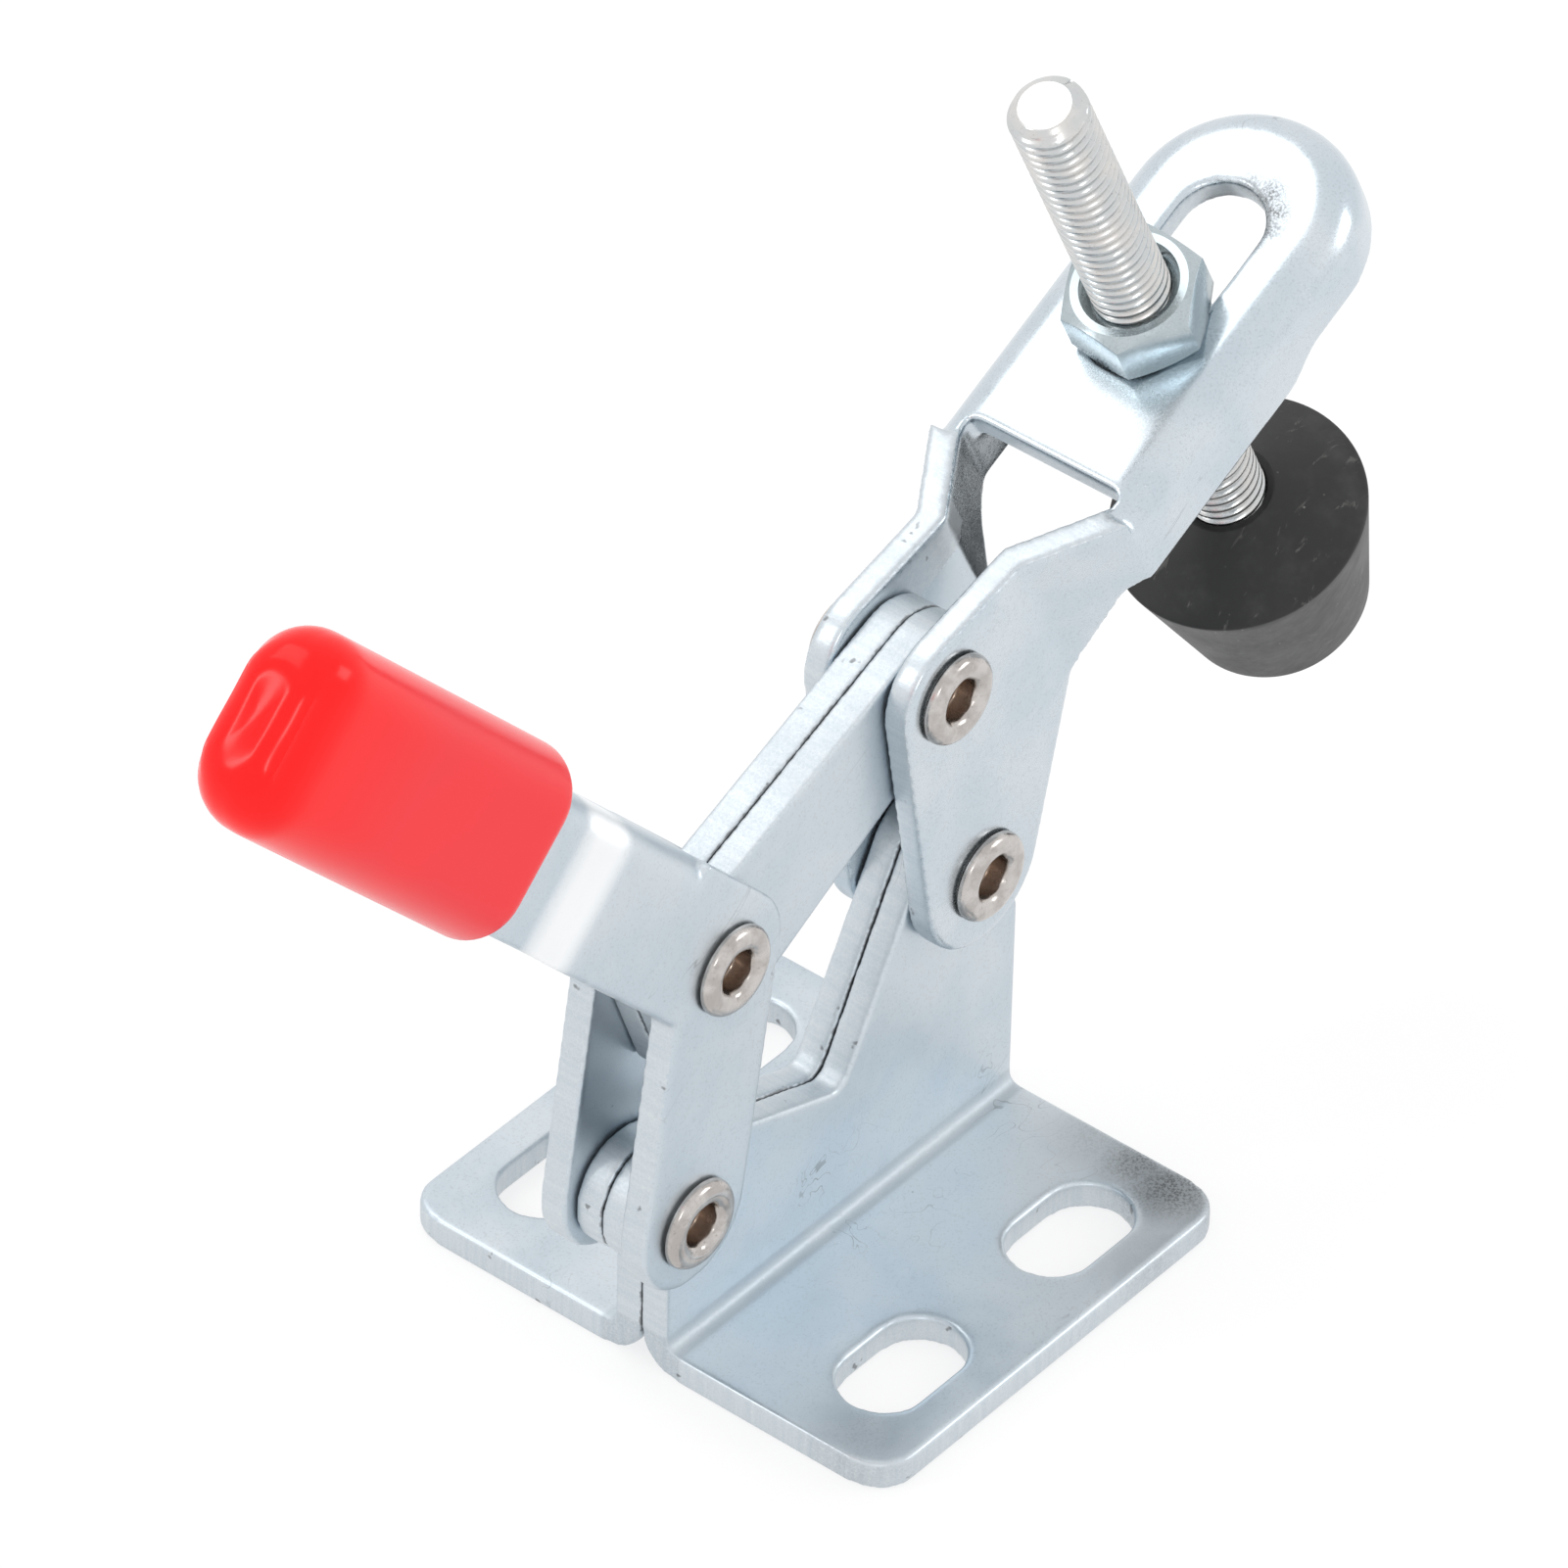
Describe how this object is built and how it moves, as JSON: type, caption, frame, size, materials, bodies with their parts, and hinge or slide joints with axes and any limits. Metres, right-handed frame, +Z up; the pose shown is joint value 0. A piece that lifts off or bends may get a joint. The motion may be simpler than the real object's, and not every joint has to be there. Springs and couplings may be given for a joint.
{
  "type": "toggle clamp",
  "caption": "Small vertical-handle toggle clamp with a slotted flanged base, a slotted hold-down arm, a dipped grip and a threaded spindle with a rubber bumper.",
  "frame": {"origin": "on the underside of the base, at the centre of its four mounting slots", "axes": "+X towards the bumper, +Y to the left across the linkage, +Z up out of the base"},
  "size_m": [0.1032, 0.0382, 0.0752],
  "materials": {
    "zinc_steel": "satin",
    "nickel_steel": "polished",
    "bright_steel": "satin",
    "red_plastic": "gloss",
    "black_rubber": "matte"
  },
  "bodies": {
    "base": {"base_left": "zinc_steel", "base_right": "zinc_steel"},
    "handle": {"handle": "zinc_steel", "grip": "red_plastic", "handle_base_rivet": "nickel_steel", "handle_base_washer_left": "nickel_steel", "handle_base_washer_right": "nickel_steel", "handle_link_rivet": "nickel_steel", "handle_link_washer_left": "nickel_steel", "handle_link_washer_right": "nickel_steel"},
    "arm": {"arm": "zinc_steel", "link_arm_rivet": "nickel_steel", "link_arm_washer_left": "nickel_steel", "link_arm_washer_right": "nickel_steel", "arm_base_rivet": "nickel_steel", "arm_base_washer_left": "nickel_steel", "arm_base_washer_right": "nickel_steel", "spindle": "bright_steel", "upper_nut": "bright_steel", "lower_nut": "bright_steel", "bumper": "black_rubber"},
    "link": {"link_left": "zinc_steel", "link_right": "zinc_steel"}
  },
  "joints": [
    {"name": "handle_swing", "type": "hinge", "parent": "base", "child": "handle", "pos_m": [-0.0165, 0, 0.0137], "axis": [0, 1, 0], "range_deg": [-18, 38]},
    {"name": "arm_swing", "type": "hinge", "parent": "base", "child": "arm", "pos_m": [0.01055, 0, 0.02345], "axis": [0, 1, 0], "range_deg": [-12, 25.2]},
    {"name": "link_swing", "type": "hinge", "parent": "arm", "child": "link", "pos_m": [0.0068, 0, 0.0395], "axis": [0, 1, 0], "range_deg": [-39.6, 18.8]}
  ],
  "couplings": [
    {"joint": "arm_swing", "follows": "handle_swing", "ratio": 0.66},
    {"joint": "link_swing", "follows": "handle_swing", "ratio": -1.04}
  ]
}
